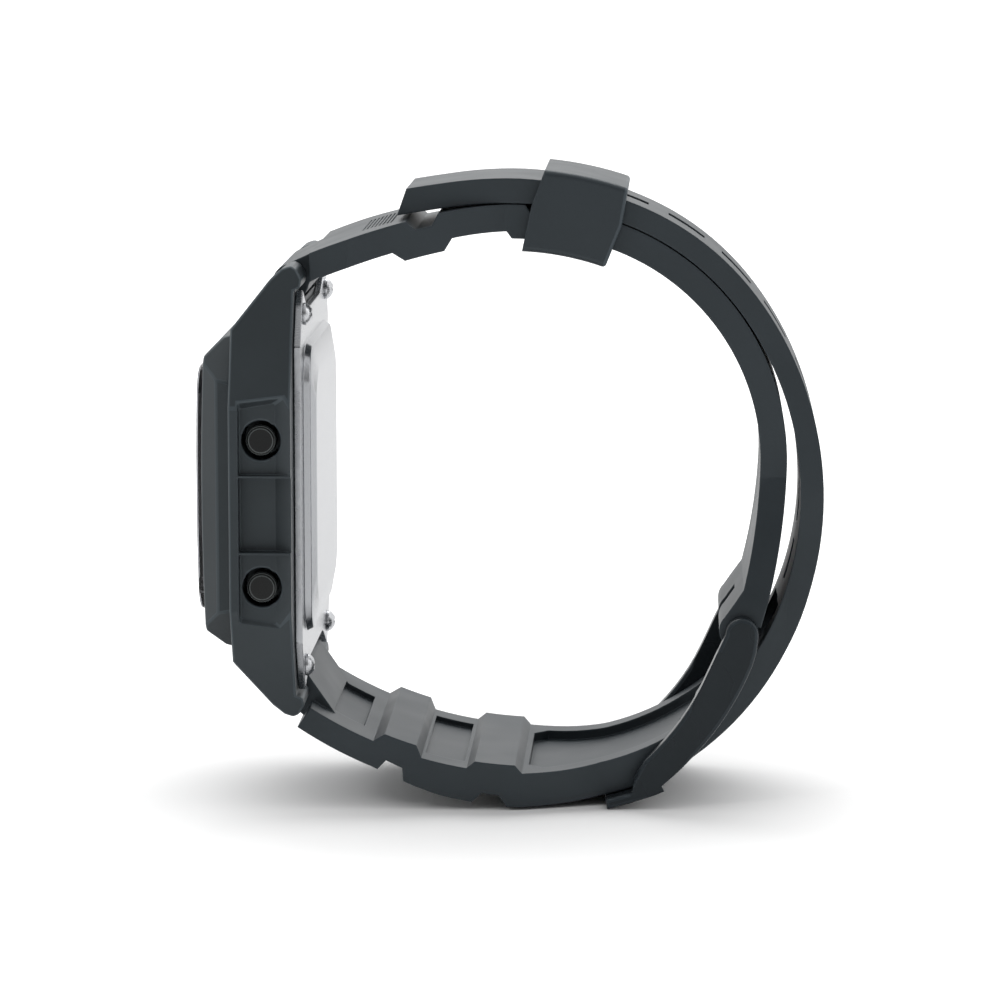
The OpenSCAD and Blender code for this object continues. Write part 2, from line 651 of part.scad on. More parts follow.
// Short half of the strap
neck_x = 4;
neck_z = 49;
module short_side(from, to) {
    rows = short_stations(from, to);
    outer = [for (s = rows) beside(along(short_start, short_runs, s), -relief(s, short_notches))];
    inner = [for (s = rows) beside(along(short_start, short_runs, s),
        -short_t - relief(s, short_ribs))];
    polygon(concat(outer, backwards(inner)));
}
module strap_tongue(bar, points) {
    translate(bar) circle(tongue_r);
    polygon(points);
}
module short_barrel() {
    root = along(short_start, short_runs, short_len - 4.4);
    head = barrel + barrel_r * dir(hinge_pose[2] - 97);
    translate(barrel) circle(barrel_r);
    polygon([beside(root, -0.2), beside(root, -short_t), head, barrel,
        beside(hinge_pose, -0.4)]);
}
// Widths of both halves on the wrist's side, seen from there
module buckle_side_width(low_w, low_z, high_w, high_z) {
    translate([neck_x + 0.5, 0, 0]) rotate([90, 0, 90]) linear_extrude(case_len) polygon([
        [-low_w / 2, -cut], [low_w / 2, -cut], [low_w / 2, low_z], [high_w / 2, high_z],
        [high_w / 2, 2 * case_z + cut], [-high_w / 2, 2 * case_z + cut],
        [-high_w / 2, high_z], [-low_w / 2, low_z]]);
}
module strap_short() {
    start = [short_start[0], short_start[1]];
    // The neck begins clear of the keeper at the near end of its slide
    neck_from = on_arc(arc_r, -keeper_half_angle - 5)[0];
    color(resin) difference() {
        union() {
            // Shoulder, drawn in towards the keeper
            intersection() {
                wide(strap_w) union() {
                    short_side(0, 30);
                    polygon([start, start + [3, 1], start + [3, -1.4], start + [0, -3]]);
                }
                translate([0, 0, case_z]) linear_extrude(case_len) polygon([
                    [start[0] - cut, strap_w / 2], [start[0] + 4, strap_w / 2],
                    [neck_from, strap_neck / 2], [neck_x + 1, strap_neck / 2],
                    [neck_x + 1, -strap_neck / 2], [neck_from, -strap_neck / 2],
                    [start[0] + 4, -strap_w / 2], [start[0] - cut, -strap_w / 2]]);
            }
            // Length from the keeper to the buckle, widening to the buckle
            intersection() {
                wide(strap_w) union() {
                    short_side(24, short_len - 1);
                    short_barrel();
                }
                buckle_side_width(strap_buckle_w, hinge[1] + 3, strap_neck, hinge[1] + 16);
            }
            wide(lug_gap - 0.6) strap_tongue(top_bar, [
                top_bar + [-0.9, 1.67], start + [0, -0.25], start + [3, 0.8],
                start + [3, -1.6], start + [0, -2.8], top_bar + [1.3, -1.38]]);
        }
        wide(strap_w) translate(top_bar) circle(bar_d / 2 + fit_gap);
        wide(strap_w) translate(hinge) circle(bar_d / 2 + fit_gap);
        // Slot of the buckle tongue in the barrel
        wide(tongue_w + 0.5) translate(barrel) circle(barrel_r + 1);
        grip_ribs();
    }
}
// Fine grip ribs across the shoulder's outer face
module grip_ribs() {
    rib_pitch = 0.44;
    for (i = [0 : 7]) let (p = along(short_start, short_runs, 5.4 + i * rib_pitch))
        translate([p[0], 0, p[1]]) rotate([0, -p[2], 0]) cube([rib_pitch / 2, 13, 0.5], center = true);
}

// Long half of the strap
function long_at(s, d) = beside(along(long_start, long_runs, s), d - lift(s));
module long_side(from, to) {
    rows = long_stations(from, to);
    inner = [for (s = rows) long_at(s, relief(s, long_ribs))];
    outer = [for (s = rows) long_at(s, relief(s, long_notches) - long_thick(s))];
    polygon(concat(inner, backwards(outer)));
}
module long_band(from, to, low, high) {
    rows = stations(from, to, facet, []);
    polygon(concat([for (s = rows) long_at(s, low)], backwards([for (s = rows) long_at(s, high)])));
}
// Plan of the long half under the wrist, drawn in towards the buckle
module long_plan(rail) {
    half = strap_w / 2 - rail;
    mid = strap_buckle_w / 2 - 0.1 - rail;
    end = tail_w / 2 + 0.6 - rail;
    polygon([[-case_len, -half], [1, -half], [9.5, -mid], [18, 0.15 - mid], [29, -end],
        [case_len, -end], [case_len, end], [29, end], [18, mid - 0.15], [9.5, mid], [1, half],
        [-case_len, half]]);
}
bend_s = 70;
groove_end = 58;
end_slant = 33;
module strap_long() {
    start = [long_start[0], long_start[1]];
    color(resin) difference() {
        union() {
            intersection() {
                wide(strap_w) long_side(0.4, bend_s);
                translate([0, 0, -cut]) linear_extrude(case_z + cut) long_plan(0);
            }
            intersection() {
                wide(strap_w) long_side(bend_s - 0.2, long_len);
                union() {
                    buckle_side_width(tail_w + 1.2, long_at(bend_s, 0)[1] + 1, tail_w, neck_z);
                    translate([neck_x + 1 - case_len, -tail_w / 2, case_z]) cube([case_len, tail_w, case_len]);
                }
            }
            wide(lug_gap - 0.6) strap_tongue(bottom_bar, [
                bottom_bar + [1.35, 1.34], long_at(3.2, -0.02), long_at(2.4, -2.2),
                start + [-0.6, -1.9], bottom_bar + [-1.2, -1.47]]);
        }
        wide(strap_w) translate(bottom_bar) circle(bar_d / 2 + fit_gap);
        // Two short pockets in the inner face
        wide(15.6) long_band(2.9, 6.5, -pocket_depth, 1);
        wide(19.6) long_band(13.6, 17.8, -pocket_depth, 1);
        // Long groove that ends round, past the first adjustment holes
        intersection() {
            wide(strap_w) long_band(24.6, groove_end, -groove_depth, 1);
            translate([0, 0, -cut]) linear_extrude(case_z) difference() {
                long_plan(2.6);
                for (m = [-1, 1]) translate([long_at(24.6, 0)[0], m * (strap_w / 2 - 3.1)])
                    rotate([0, 0, m * 45]) square([2.4, 2.4], center = true);
            }
        }
        // Adjustment holes
        for (i = [0 : hole_count - 1]) let (p = along(long_start, long_runs, tongue_hole + i * hole_pitch))
            translate([p[0], 0, p[1]]) rotate([0, -p[2], 0])
                cube([hole_len, hole_w, 12], center = true);
        // Slanted free end
        let (p = along(long_start, long_runs, long_len))
            translate([p[0], 0, p[1]]) rotate([0, end_slant - p[2], 0])
                translate([0, -strap_w / 2, -8]) cube([6, strap_w, 12]);
    }
}

// Keeper: a free loop round both halves, drawn round the arc of the strap
keeper_pose = along(short_start, short_runs, 15.5);
arc_r = -short_runs[1][1];
arc_centre = beside(keeper_pose, -arc_r);
keeper_angle = atan2(along(short_start, short_runs, keeper_mid)[0] - arc_centre[0],
    along(short_start, short_runs, keeper_mid)[1] - arc_centre[1]);
keeper_half_angle = keeper_len / arc_r * 90 / PI;
function on_arc(r, a) = arc_centre + r * [sin(keeper_angle + a), cos(keeper_angle + a)];
module keeper() {
    inner_r = arc_r - short_t - short_ribs[1][3] - keeper_gap;
    outer_r = arc_r + part_gap + tail_t + keeper_gap;
    low = inner_r - keeper_wall;
    high = outer_r + keeper_wall;
    tall = high - low;
    sweep = 3 * keeper_half_angle;
    lean = 1.9;
    color(resin) intersection() {
        translate([arc_centre[0], 0, arc_centre[1]]) rotate([90, 0, 0])
            rotate([0, 0, 90 - keeper_angle - sweep / 2])
                rotate_extrude(angle = sweep, $fn = 180) difference() {
                    translate([low + tall / 2, 0])
                        rounded(tall, 2 * (keeper_half + keeper_wall), 0.6);
                    translate([inner_r, -keeper_half]) square([outer_r - inner_r, 2 * keeper_half]);
                }
        wide(strap_w) polygon([
            on_arc(low - 1, -keeper_half_angle - lean), on_arc(low, 0.3 + keeper_half_angle),
            on_arc(arc_r, 0.6 + keeper_half_angle), on_arc(high + 1, keeper_half_angle - 0.7),
            on_arc(high + 1, lean - keeper_half_angle), on_arc(arc_r, -0.2 - keeper_half_angle)]);
    }
}

// Buckle frame: two curved arms, joined outside the long half by the cross bar
head_turn = 22;
left_runs = [[5.6, -500], [10.2, -26.5], [0.8, 2.4], [1.8, 500]];
right_runs = [[3.6, -9.5], [14.2, -30.5]];
module arm_side() {
    r = arm_h / 2;
    head = [for (a = [0 : 15 : 180]) hinge + r * dir(a)];
    left = [for (s = stations(0.4, total(left_runs), 1.4, [5.6, 15.8, 16.2, 16.6]))
        let (p = along([hinge[0] - r, hinge[1], -head_turn - 92], left_runs, s)) [p[0], p[1]]];
    right = [for (s = stations(0.6, total(right_runs), 1.4, [3.6]))
        let (p = along([hinge[0] + r, hinge[1], -90], right_runs, s)) [p[0], p[1]]];
    polygon(concat(head, left, [outside(cross_from + 2.4, part_gap + 0.6),
        outside(cross_to - 0.3, part_gap + 0.6)], backwards(right)));
}
function outside(s, d) = long_at(s, -long_thick(s) - d);
module cross_side(from, to, near, far) {
    rows = stations(from, to, facet, []);
    polygon(concat([for (s = rows) outside(s, near)], backwards([for (s = rows) outside(s, far)])));
}
module buckle_frame() {
    outer = frame_half + arm_t;
    color(gloss_black) difference() {
        union() {
            for (s = [-1, 1]) translate([0, s * (frame_half + arm_t / 2), 0]) wide(arm_t) arm_side();
            wide(2 * outer) cross_side(cross_from, cross_to, part_gap, part_gap + cross_t);
        }
        // Blind holes of the buckle's spring bar
        wide(2 * (frame_half + pin_hole)) translate(hinge) circle(pin_d / 2 + fit_gap);
        // Rest of the tongue's tip in the cross bar
        wide(tongue_w + 0.4) cross_side(cross_from - 1, cross_to + 1, part_gap + 0.5, part_gap + 2);
    }
}

// Buckle tongue: round the bar, inside the strap, through a hole, onto the cross bar
module buckle_tongue() {
    tongue_t = 1.1;
    tip_t = 0.65;
    s = tongue_hole;
    tip_steps = 6;
    tip = [for (i = [0 : tip_steps])
        outside(s - 1.2 - i * (s - cross_from - 1.8) / tip_steps, part_gap + 0.9)];
    path = concat([hinge, long_at(s + 5, 0.9), long_at(s + 1.2, 0)], tip);
    half = concat([1.1, tongue_t / 2, tongue_t / 2], [for (p = tip) tip_t / 2]);
    last = len(path) - 1;
    function unit(v) = v / norm(v);
    function side(v) = [-v[1], v[0]];
    function corner(i) = i == 0 ? side(unit(path[1] - path[0]))
        : i == last ? side(unit(path[i] - path[i - 1]))
        : let (a = side(unit(path[i] - path[i - 1])), b = side(unit(path[i + 1] - path[i])))
            (a + b) / (1 + a * b);
    color(steel) difference() {
        union() {
            wide(tongue_w) translate(hinge) circle(1.55);
            wide(tongue_w) polygon(concat([for (i = [0 : last]) path[i] + half[i] * corner(i)],
                [for (i = [last : -1 : 0]) path[i] - half[i] * corner(i)]));
        }
        wide(tongue_w + cut) translate(hinge) circle(bar_d / 2 + fit_gap);
    }
}

case_shell();
bezel();
crystal();
crystal_gasket();
dial_mask();
lcd_panel();
backlight_panel();
connector_strips();
module_frame();
circuit_board();
driver_chip();
quartz_can();
coin_cell();
battery_clip();
buzzer_disc();
buzzer_spring();
button_contacts();
back_gasket();
case_back();
back_screws();
button(1, 1);  // button_2_oclock
button(1, -1);  // button_4_oclock
button(-1, -1);  // button_8_oclock
button(-1, 1);  // button_10_oclock
seal(1, 1);  // seal_2_oclock
seal(1, -1);  // seal_4_oclock
seal(-1, -1);  // seal_8_oclock
seal(-1, 1);  // seal_10_oclock
clip(1, 1);  // clip_2_oclock
clip(1, -1);  // clip_4_oclock
clip(-1, -1);  // clip_8_oclock
clip(-1, 1);  // clip_10_oclock
button_spring(1, 1);  // spring_2_oclock
button_spring(1, -1);  // spring_4_oclock
button_spring(-1, -1);  // spring_8_oclock
button_spring(-1, 1);  // spring_10_oclock
bar_tube(top_bar, gap_half);  // top_bar_tube
bar_pin(top_bar, gap_half, 1);  // top_bar_pin_near
bar_pin(top_bar, gap_half, -1);  // top_bar_pin_far
bar_spring(top_bar, gap_half);  // top_bar_spring
bar_tube(bottom_bar, gap_half);  // bottom_bar_tube
bar_pin(bottom_bar, gap_half, 1);  // bottom_bar_pin_near
bar_pin(bottom_bar, gap_half, -1);  // bottom_bar_pin_far
bar_spring(bottom_bar, gap_half);  // bottom_bar_spring
bar_tube(hinge, frame_half);  // buckle_bar_tube
bar_pin(hinge, frame_half, 1);  // buckle_bar_pin_near
bar_pin(hinge, frame_half, -1);  // buckle_bar_pin_far
bar_spring(hinge, frame_half);  // buckle_bar_spring
strap_short();
strap_long();
keeper();
buckle_frame();
buckle_tongue();
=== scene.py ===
import itertools
import json
import math

import bmesh
import bpy
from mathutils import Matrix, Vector
from mathutils.geometry import intersect_point_line


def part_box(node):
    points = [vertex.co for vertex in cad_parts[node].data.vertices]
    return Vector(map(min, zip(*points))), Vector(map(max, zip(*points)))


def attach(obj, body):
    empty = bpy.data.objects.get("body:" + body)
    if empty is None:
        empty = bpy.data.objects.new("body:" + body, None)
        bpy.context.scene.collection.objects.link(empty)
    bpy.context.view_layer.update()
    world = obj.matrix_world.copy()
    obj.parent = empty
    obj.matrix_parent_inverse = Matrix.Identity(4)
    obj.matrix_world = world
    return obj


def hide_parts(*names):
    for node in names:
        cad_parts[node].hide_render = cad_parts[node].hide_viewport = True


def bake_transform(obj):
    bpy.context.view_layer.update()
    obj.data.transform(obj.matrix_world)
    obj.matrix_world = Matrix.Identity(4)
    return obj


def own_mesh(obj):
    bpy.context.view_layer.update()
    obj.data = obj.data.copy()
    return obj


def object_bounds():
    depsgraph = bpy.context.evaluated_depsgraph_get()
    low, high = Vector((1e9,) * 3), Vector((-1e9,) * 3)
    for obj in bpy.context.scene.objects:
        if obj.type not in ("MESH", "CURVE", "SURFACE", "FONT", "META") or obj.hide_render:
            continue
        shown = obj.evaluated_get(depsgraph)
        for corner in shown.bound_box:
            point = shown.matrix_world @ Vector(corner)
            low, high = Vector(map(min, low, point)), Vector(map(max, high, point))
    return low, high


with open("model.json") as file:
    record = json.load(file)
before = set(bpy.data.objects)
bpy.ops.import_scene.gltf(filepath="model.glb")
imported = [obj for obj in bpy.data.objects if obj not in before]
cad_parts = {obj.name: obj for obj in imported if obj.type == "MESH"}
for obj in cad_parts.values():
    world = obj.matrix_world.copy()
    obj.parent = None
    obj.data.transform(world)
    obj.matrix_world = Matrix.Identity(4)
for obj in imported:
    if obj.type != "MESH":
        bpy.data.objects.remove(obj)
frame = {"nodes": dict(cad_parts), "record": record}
cad_low, cad_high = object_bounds()
NODES = frame["nodes"]
BODY_OF = {n: b for b, ns in frame["record"]["behaviour"]["bodies"].items() for n in ns}
SLOT_OF = {p["node"]: p["material_slot"] for p in frame["record"]["subparts"]}
MM = 0.001

# The case's own frame, as in the CAD: x to 3 o'clock, y to 12 o'clock, z out of the dial
shell_low, shell_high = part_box("case_shell")
CASE_X = shell_high[0] / MM
CASE_Z = (shell_low[2] + shell_high[2]) / 2 / MM


def case_point(x, y, z):
    return Vector((CASE_X - z, -x, CASE_Z + y)) * MM


# Camera of the photograph, fitted to the screw heads and the outline of the case
CAMERA_AT = Vector((18.29, -454.53, 100.02)) * MM
CAMERA_FORWARD = Vector((-0.0433, 0.9878, -0.1498)).normalized()
CAMERA_LENS = 154.4


def make_camera():
    data = bpy.data.cameras.new("camera")
    data.lens = CAMERA_LENS
    data.sensor_width = 36
    data.clip_start = 0.01
    camera = bpy.data.objects.new("camera", data)
    bpy.context.scene.collection.objects.link(camera)
    camera.location = CAMERA_AT
    camera.rotation_euler = CAMERA_FORWARD.to_track_quat("-Z", "Y").to_euler()
    bpy.context.scene.camera = camera


# Shader building
class Shader:
    """A Principled material with its texture nodes, all in object coordinates."""

    def __init__(self, name):
        self.material = bpy.data.materials.new(name)
        self.material.use_nodes = True
        self.tree = self.material.node_tree
        self.base = self.tree.nodes["Principled BSDF"]
        self.place = self.node("ShaderNodeTexCoord").outputs["Object"]

    def node(self, kind, **values):
        made = self.tree.nodes.new(kind)
        for key, value in values.items():
            setattr(made, key, value)
        return made

    def set(self, **values):
        for key, value in values.items():
            self.base.inputs[key.replace("_", " ")].default_value = value
        return self

    def link(self, out, into):
        self.tree.links.new(out, into)

    def stretched(self, scale):
        mapping = self.node("ShaderNodeMapping")
        mapping.inputs["Scale"].default_value = scale
        self.link(self.place, mapping.inputs["Vector"])
        return mapping.outputs["Vector"]

    def noise(self, scale, detail=3.0, vector=None, rough=0.55):
        made = self.node("ShaderNodeTexNoise")
        made.inputs["Scale"].default_value = scale
        made.inputs["Detail"].default_value = detail
        made.inputs["Roughness"].default_value = rough
        self.link(vector or self.place, made.inputs["Vector"])
        return made.outputs["Fac"]

    def ramp(self, value, low, high, start=0.3, end=0.7):
        made = self.node("ShaderNodeMapRange")
        made.inputs["From Min"].default_value = start
        made.inputs["From Max"].default_value = end
        made.inputs["To Min"].default_value = low
        made.inputs["To Max"].default_value = high
        self.link(value, made.inputs["Value"])
        return made.outputs["Result"]

    def mix(self, factor, first, second):
        made = self.node("ShaderNodeMix", data_type="RGBA")
        self.link(factor, made.inputs["Factor"])
        for socket, colour in ((made.inputs[6], first), (made.inputs[7], second)):
            if isinstance(colour, (tuple, list)):
                socket.default_value = (*colour[:3], 1)
            else:
                self.link(colour, socket)
        return made.outputs[2]

    def bump(self, height, strength, distance, after=None):
        made = self.node("ShaderNodeBump")
        made.inputs["Strength"].default_value = strength
        made.inputs["Distance"].default_value = distance
        self.link(height, made.inputs["Height"])
        if after is not None:
            self.link(after, made.inputs["Normal"])
        return made.outputs["Normal"]

    def soft_edge(self, radius):
        made = self.node("ShaderNodeBevel", samples=6)
        made.inputs["Radius"].default_value = radius * MM
        return made.outputs["Normal"]

    def near_edge(self, rounded):
        """1 on the rounded strips, and where the rounded normal leaves the face's own."""
        plain = self.node("ShaderNodeNewGeometry")
        dot = self.node("ShaderNodeVectorMath", operation="DOT_PRODUCT")
        self.link(rounded, dot.inputs[0])
        self.link(plain.outputs["Normal"], dot.inputs[1])
        strip = self.node("ShaderNodeAttribute", attribute_name="strip")
        either = self.node("ShaderNodeMath", operation="MAXIMUM")
        self.link(self.ramp(dot.outputs["Value"], 1.0, 0.0, 0.8, 0.995), either.inputs[0])
        self.link(strip.outputs["Fac"], either.inputs[1])
        return either.outputs[0]


def tinted(colour, gain):
    return tuple(min(1.0, c * gain) for c in colour)


def resin(name, colour, rough, grain=0.00002, edge=2.1, radius=0.25, shine=0.55):
    """Moulded resin: fine grain, cloudy tone, and a painted highlight that lightens the rounded edges."""
    s = Shader(name)
    rounded = s.soft_edge(radius)
    cloud = s.ramp(s.noise(90, 4), 0.0, 1.0)
    tone = s.mix(cloud, tinted(colour, 0.88), tinted(colour, 1.14))
    # Painted highlight: on the rounded edges the base colour is lifted to edge times the tone, standing
    # in for reflected light
    s.link(s.mix(s.near_edge(rounded), tone, tinted(colour, edge)), s.base.inputs["Base Color"])
    s.link(s.ramp(s.noise(150, 1), rough - 0.03, rough + 0.03), s.base.inputs["Roughness"])
    s.link(s.bump(s.noise(1200, 1), 0.06, grain, rounded), s.base.inputs["Normal"])
    s.set(IOR=1.5, Specular_IOR_Level=shine, Specular_Tint=(0.86, 0.95, 1.0, 1))
    return s.material


def gloss(name, colour, rough=0.1, smeared=1.5, rim=None, shine=0.45):
    """Polished moulding with faint smears, and a painted highlight in the rim colour on the rounded rim
    where one is given.
    """
    s = Shader(name)
    smear = s.noise(260, 2)
    tone = s.mix(s.ramp(smear, 0, 1), colour, tinted(colour, smeared))
    normal = s.bump(s.noise(400, 1), 0.005, 0.00001)
    if rim:
        rounded = s.soft_edge(0.12)
        # Painted highlight: the rounded rim takes the lighter rim colour, standing in for the ring of
        # reflected light
        tone = s.mix(s.near_edge(rounded), tone, rim)
        normal = rounded
    s.link(tone, s.base.inputs["Base Color"])
    s.link(s.ramp(smear, rough, rough + 0.05), s.base.inputs["Roughness"])
    s.link(normal, s.base.inputs["Normal"])
    s.set(IOR=1.5, Specular_IOR_Level=shine)
    return s.material


def steel(name, colour, rough, grain=(1, 60, 1), strength=0.12):
    """Brushed or polished steel: fine streaks along one direction."""
    s = Shader(name)
    streak = s.noise(900, 3, s.stretched(grain))
    s.link(s.mix(s.ramp(streak, 0, 1), tinted(colour, 0.9), colour), s.base.inputs["Base Color"])
    s.link(s.ramp(streak, rough - 0.05, rough + 0.08), s.base.inputs["Roughness"])
    s.link(s.bump(streak, strength, 0.00002), s.base.inputs["Normal"])
    s.set(Metallic=1.0)
    return s.material


def soft_rubber(name, colour, rough=0.7):
    s = Shader(name)
    dust = s.ramp(s.noise(1500, 4), 0, 1, 0.45, 0.7)
    s.link(s.mix(dust, colour, tinted(colour, 1.8)), s.base.inputs["Base Color"])
    s.link(s.ramp(s.noise(800, 2), rough - 0.08, rough + 0.1), s.base.inputs["Roughness"])
    s.link(s.bump(s.noise(2600, 2), 0.2, 0.00003), s.base.inputs["Normal"])
    return s.material


def clear_glass(name, colour, rough=0.01):
    s = Shader(name)
    haze = s.ramp(s.noise(300, 2), 0, 1)
    s.link(s.mix(haze, colour, tinted(colour, 0.97)), s.base.inputs["Base Color"])
    s.link(s.ramp(s.noise(500, 3), rough, rough + 0.03, 0.45, 0.75), s.base.inputs["Roughness"])
    s.set(IOR=1.3, Transmission_Weight=1.0, Specular_IOR_Level=0.2)
    return s.material


def plain_board(name, colour, other, scale, rough=0.4):
    """Two-tone surface, such as a lacquered board with tracks under it."""
    s = Shader(name)
    tracks = s.node("ShaderNodeTexBrick")
    tracks.inputs["Scale"].default_value = scale
    tracks.inputs["Mortar Size"].default_value = 0.03
    s.link(s.stretched((0.001, 1, 1)), tracks.inputs["Vector"])
    s.link(s.mix(tracks.outputs["Fac"], colour, other), s.base.inputs["Base Color"])
    s.link(s.ramp(s.noise(700, 3), rough, rough + 0.1), s.base.inputs["Roughness"])
    s.link(s.bump(tracks.outputs["Fac"], 0.2, 0.00003), s.base.inputs["Normal"])
    return s.material


RESIN_TONE = (0.024, 0.03, 0.034)
STRAP_TONE = (0.022, 0.028, 0.033)
MATERIALS = {
    # Each resin lightens its rounded edges as a painted highlight (edge gain 2.1 by default, 1.1 on
    # frame_white)
    "case_resin": resin("case_resin", RESIN_TONE, 0.42),
    "bezel_resin": resin("bezel_resin", tinted(RESIN_TONE, 0.75), 0.46),
    "strap_resin": resin("strap_resin", STRAP_TONE, 0.42, 0.000015),
    "buckle_resin": resin("buckle_resin", tinted(STRAP_TONE, 0.55), 0.27, 0.000005, shine=0.3),
    # button_black's rim colour is a painted highlight ring along the cap's rounded chamfer
    "button_black": gloss("button_black", (0.005, 0.006, 0.006), rim=(0.09, 0.1, 0.1), shine=0.25),
    "crystal": clear_glass("crystal", (0.93, 0.94, 1.0)),
    "steel_back": steel("steel_back", (0.47, 0.48, 0.5), 0.22),
    "steel_small": steel("steel_small", (0.66, 0.67, 0.69), 0.26, (1, 1, 40)),
    "spring_steel": steel("spring_steel", (0.6, 0.6, 0.61), 0.32, (20, 1, 1)),
    "gasket_rubber": soft_rubber("gasket_rubber", (0.012, 0.012, 0.013)),
    "mask_black": gloss("mask_black", (0.006, 0.006, 0.007), 0.3, 1.05, shine=0.12),
    "display_glass": gloss("display_glass", (0.36, 0.4, 0.35), 0.3, 1.04, shine=0.15),
    "backlight": soft_rubber("backlight", (0.6, 0.64, 0.6), 0.5),
    "strip_rubber": soft_rubber("strip_rubber", (0.06, 0.06, 0.07)),
    "frame_white": resin("frame_white", (0.6, 0.6, 0.57), 0.5, 0.00002, 1.1),
    "board_green": plain_board("board_green", (0.015, 0.12, 0.05), (0.04, 0.25, 0.1), 700),
    "chip_black": soft_rubber("chip_black", (0.014, 0.014, 0.015), 0.45),
    "brass_disc": steel("brass_disc", (0.72, 0.52, 0.24), 0.3, (1, 30, 1)),
}


# Pieces dressed from the CAD's own faces
def link_piece(name, mesh, slot, body=None, replaced=()):
    piece = bpy.data.objects.new(name, mesh)
    bpy.context.scene.collection.objects.link(piece)
    mesh.materials.clear()
    mesh.materials.append(MATERIALS[slot])
    if body:
        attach(piece, body)
    if replaced:
        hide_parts(*replaced)
    return piece


def clear_inside(face, edge, chosen, width):
    """True where no other edge of the face runs close to this one on its inner side."""
    loop = next(corner for corner in face.loops if corner.edge is edge)
    start = loop.vert.co
    run = loop.link_loop_next.vert.co - start
    along = run.normalized()
    inward = face.normal.cross(along)
    for other in face.edges:
        if set(other.verts) & set(edge.verts):
            continue
        need = width * (2.2 if other in chosen else 1.3)
        ends = [vert.co - start for vert in other.verts]
        for share in (0.05, 0.5, 0.95):
            x0, x1 = (end.dot(along) - share * run.length for end in ends)
            if x0 * x1 >= 0:
                continue
            y0, y1 = (end.dot(inward) for end in ends)
            if 0 < y0 + (y1 - y0) * x0 / (x0 - x1) < need:
                return False
    return True


def roomy(edge, chosen, width):
    """True where a rounding of this width has room beside the edge and at both its ends."""
    for vert in edge.verts:
        along = (edge.other_vert(vert).co - vert.co).normalized()
        for other in vert.link_edges:
            if other is edge:
                continue
            way = (other.other_vert(vert).co - vert.co).normalized()
            if other in chosen and way.dot(along) < -0.8:
                continue
            if other.calc_length() < 2.2 * width:
                return False
    return all(clear_inside(face, edge, chosen, width) for face in edge.link_faces)


def crossed_places(mesh):
    """Corners of the triangles that turn well away from the face they belong to."""
    mesh.calc_loop_triangles()
    return [
        mesh.vertices[v].co.copy()
        for tri in mesh.loop_triangles
        if tri.area > 1e-10 and tri.normal.dot(mesh.polygons[tri.polygon_index].normal) < 0.5
        for v in tri.vertices
    ]


def beside(edge, place, reach):
    """True where the place lies within reach of the edge."""
    nearest, share = intersect_point_line(place, edge.verts[0].co, edge.verts[1].co)
    share = min(1.0, max(0.0, share))
    return (edge.verts[0].co.lerp(edge.verts[1].co, share) - place).length < reach


def set_soft_normals(mesh, flat=18.0, reach=60.0):
    """Faces blend with the like faces round them, and a rounded strip turns from one face to the next."""
    strip = [bool(v.value) for v in mesh.attributes["strip"].data]
    around = [[] for _ in mesh.vertices]
    for face in mesh.polygons:
        for v in face.vertices:
            around[v].append(face.index)
    normals = [Vector(f.normal) for f in mesh.polygons]
    areas = [f.area for f in mesh.polygons]
    least = math.cos(math.radians(flat))
    far = math.cos(math.radians(reach))

    def blended(own, faces):
        total = Vector()
        for other in faces:
            if normals[other].dot(own) > least:
                total += normals[other] * areas[other]
        return total.normalized() if total.length > 0 else own

    made = [None] * len(mesh.loops)
    for face in mesh.polygons:
        own = normals[face.index]
        for loop in face.loop_indices:
            faces = around[mesh.loops[loop].vertex_index]
            flats = [f for f in faces if not strip[f]]
            if not strip[face.index]:
                made[loop] = blended(own, flats)
                continue
            near = max(flats, key=lambda f: normals[f].dot(own), default=None)
            if near is not None and normals[near].dot(own) > far:
                made[loop] = blended(normals[near], flats)
            else:
                total = sum((normals[f] for f in faces if normals[f].dot(own) > far), Vector())
                made[loop] = total.normalized()
    mesh.normals_split_custom_set(made)


def rounding(node, width, sharp, weld, segments, spared):
    """The node's mesh with flat faces merged and its sharp edges rounded, but for the spared places."""
    bm = bmesh.new()
    bm.from_mesh(NODES[node].data)
    bmesh.ops.remove_doubles(bm, verts=bm.verts, dist=weld * MM)
    bmesh.ops.dissolve_limit(
        bm, angle_limit=math.radians(0.6), verts=bm.verts, edges=bm.edges, use_dissolve_boundaries=False
    )
    limit = math.radians(sharp)
    sharp_edges = {e for e in bm.edges if len(e.link_faces) == 2 and e.calc_face_angle(0) > limit}
    reach = 2.5 * width * MM
    chosen = [
        edge for edge in bm.edges
        if width and edge in sharp_edges and roomy(edge, sharp_edges, width * MM)
        and not any(beside(edge, place, reach) for place in spared)
    ]
    strip = bm.faces.layers.int.new("strip")
    made = bmesh.ops.bevel(
        bm, geom=chosen, offset=width * MM, offset_type="OFFSET", segments=segments,
        profile=0.5, affect="EDGES", clamp_overlap=False,
    )
    for face in made["faces"]:
        face[strip] = 1
    for face in bm.faces:
        face.smooth = True
    mesh = bpy.data.meshes.new(node + "_skin")
    bm.to_mesh(mesh)
    bm.free()
    return mesh


def rounded_mesh(node, width, sharp=18.0, weld=0.002, segments=3, tries=6):
    """Rounds the node's edges, and leaves them sharp where the rounded strips would cross."""
    spared = []
    for _ in range(tries):
        mesh = rounding(node, width, sharp, weld, segments, spared)
        crossed = crossed_places(mesh)
        if not crossed:
            break
        spared += crossed
    set_soft_normals(mesh)
    return mesh


